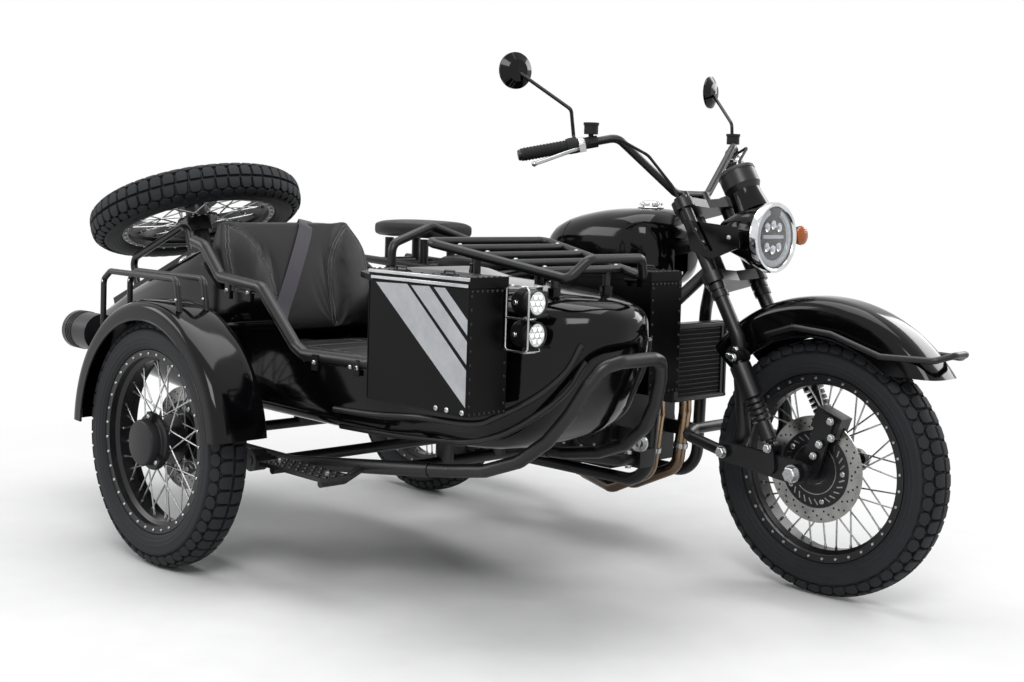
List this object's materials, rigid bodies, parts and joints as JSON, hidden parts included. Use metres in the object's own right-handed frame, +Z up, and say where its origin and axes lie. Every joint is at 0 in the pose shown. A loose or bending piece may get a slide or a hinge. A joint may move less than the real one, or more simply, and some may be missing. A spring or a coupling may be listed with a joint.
{
  "type": "sidecar motorcycle",
  "caption": "Black adventure motorcycle with a passenger sidecar, leading-link fork, wire wheels, nose rack, hard side boxes and a spare wheel on the boot lid.",
  "frame": {"origin": "middle of the ground plan, on the ground", "axes": "+X forward along the motorcycle, +Y to its left, +Z up"},
  "size_m": [2.5953, 1.728, 1.392],
  "materials": {
    "gloss_black": "gloss paint",
    "satin_black": "satin powder coat",
    "engine_black": "satin cast finish",
    "chain_steel": "oiled",
    "header_steel": "heat-tinted",
    "polished": "polished",
    "red_lens": "clear red moulding",
    "clear_lens": "clear",
    "grip_rubber": "matt",
    "lid_metal": "satin",
    "disc_steel": "ground",
    "tyre_rubber": "matt",
    "seat_leather": "grained"
  },
  "bodies": {
    "chassis": {"bike_frame": "satin_black", "engine": "engine_black", "radiator": "satin_black", "exhaust": "header_steel", "fuel_tank": "gloss_black", "filler_cap": "polished", "rider_seat": "seat_leather", "pillion_seat": "seat_leather", "rear_fender": "gloss_black", "rear_lamps": "red_lens", "swingarms": "satin_black", "shocks": "satin_black", "drive_chain": "chain_steel", "side_covers": "gloss_black", "sidecar_chassis": "satin_black", "bumper": "satin_black", "sidecar_body": "gloss_black", "seat_back": "seat_leather", "seat_base": "seat_leather", "cockpit_rails": "satin_black", "nose_rack": "satin_black", "box_right": "gloss_black", "box_left": "gloss_black", "spot_lamps": "satin_black", "sidecar_fender": "gloss_black", "fender_rails": "satin_black", "step_plate": "satin_black"},
    "steering": {"fork": "satin_black", "leading_arms": "satin_black", "front_shocks": "satin_black", "front_fender": "gloss_black", "fender_guard": "satin_black", "front_brake": "satin_black", "headlamp": "gloss_black", "headlamp_lens": "clear_lens", "gauge": "satin_black", "handlebar": "satin_black", "hand_controls": "grip_rubber", "mirrors": "gloss_black"},
    "front_roller": {"front_tyre": "tyre_rubber", "front_wheel": "satin_black", "front_disc": "disc_steel"},
    "rear_roller": {"rear_tyre": "tyre_rubber", "rear_wheel": "satin_black", "rear_disc": "disc_steel"},
    "sidecar_roller": {"sidecar_tyre": "tyre_rubber", "sidecar_wheel": "satin_black", "sidecar_disc": "disc_steel"},
    "right_box_lid": {"box_lid_right": "lid_metal"},
    "left_box_lid": {"box_lid_left": "lid_metal"},
    "boot": {"boot_lid": "gloss_black", "spare_carrier": "satin_black", "spare_tyre": "tyre_rubber", "spare_wheel": "satin_black"}
  },
  "joints": [
    {"name": "steer", "type": "hinge", "parent": "chassis", "child": "steering", "pos_m": [0.4676, 0.384, 0.964], "axis": [-0.5, 0, 0.866], "range_deg": [-35, 35]},
    {"name": "front_spin", "type": "hinge", "parent": "steering", "child": "front_roller", "pos_m": [0.9376, 0.384, 0.331], "axis": [0, 1, 0], "continuous": true},
    {"name": "rear_spin", "type": "hinge", "parent": "chassis", "child": "rear_roller", "pos_m": [-0.6324, 0.384, 0.331], "axis": [0, 1, 0], "continuous": true},
    {"name": "sidecar_spin", "type": "hinge", "parent": "chassis", "child": "sidecar_roller", "pos_m": [-0.3424, -0.786, 0.331], "axis": [0, 1, 0], "continuous": true},
    {"name": "right_lid_hinge", "type": "hinge", "parent": "chassis", "child": "right_box_lid", "pos_m": [0.5251, -0.546, 0.8015], "axis": [-1, 0, 0], "range_deg": [0, 80]},
    {"name": "left_lid_hinge", "type": "hinge", "parent": "chassis", "child": "left_box_lid", "pos_m": [0.5251, -0.066, 0.8015], "axis": [1, 0, 0], "range_deg": [0, 80]},
    {"name": "boot_hinge", "type": "hinge", "parent": "chassis", "child": "boot", "pos_m": [-1.1264, -0.306, 0.62765], "axis": [0, -1, 0], "range_deg": [0, 70]}
  ]
}
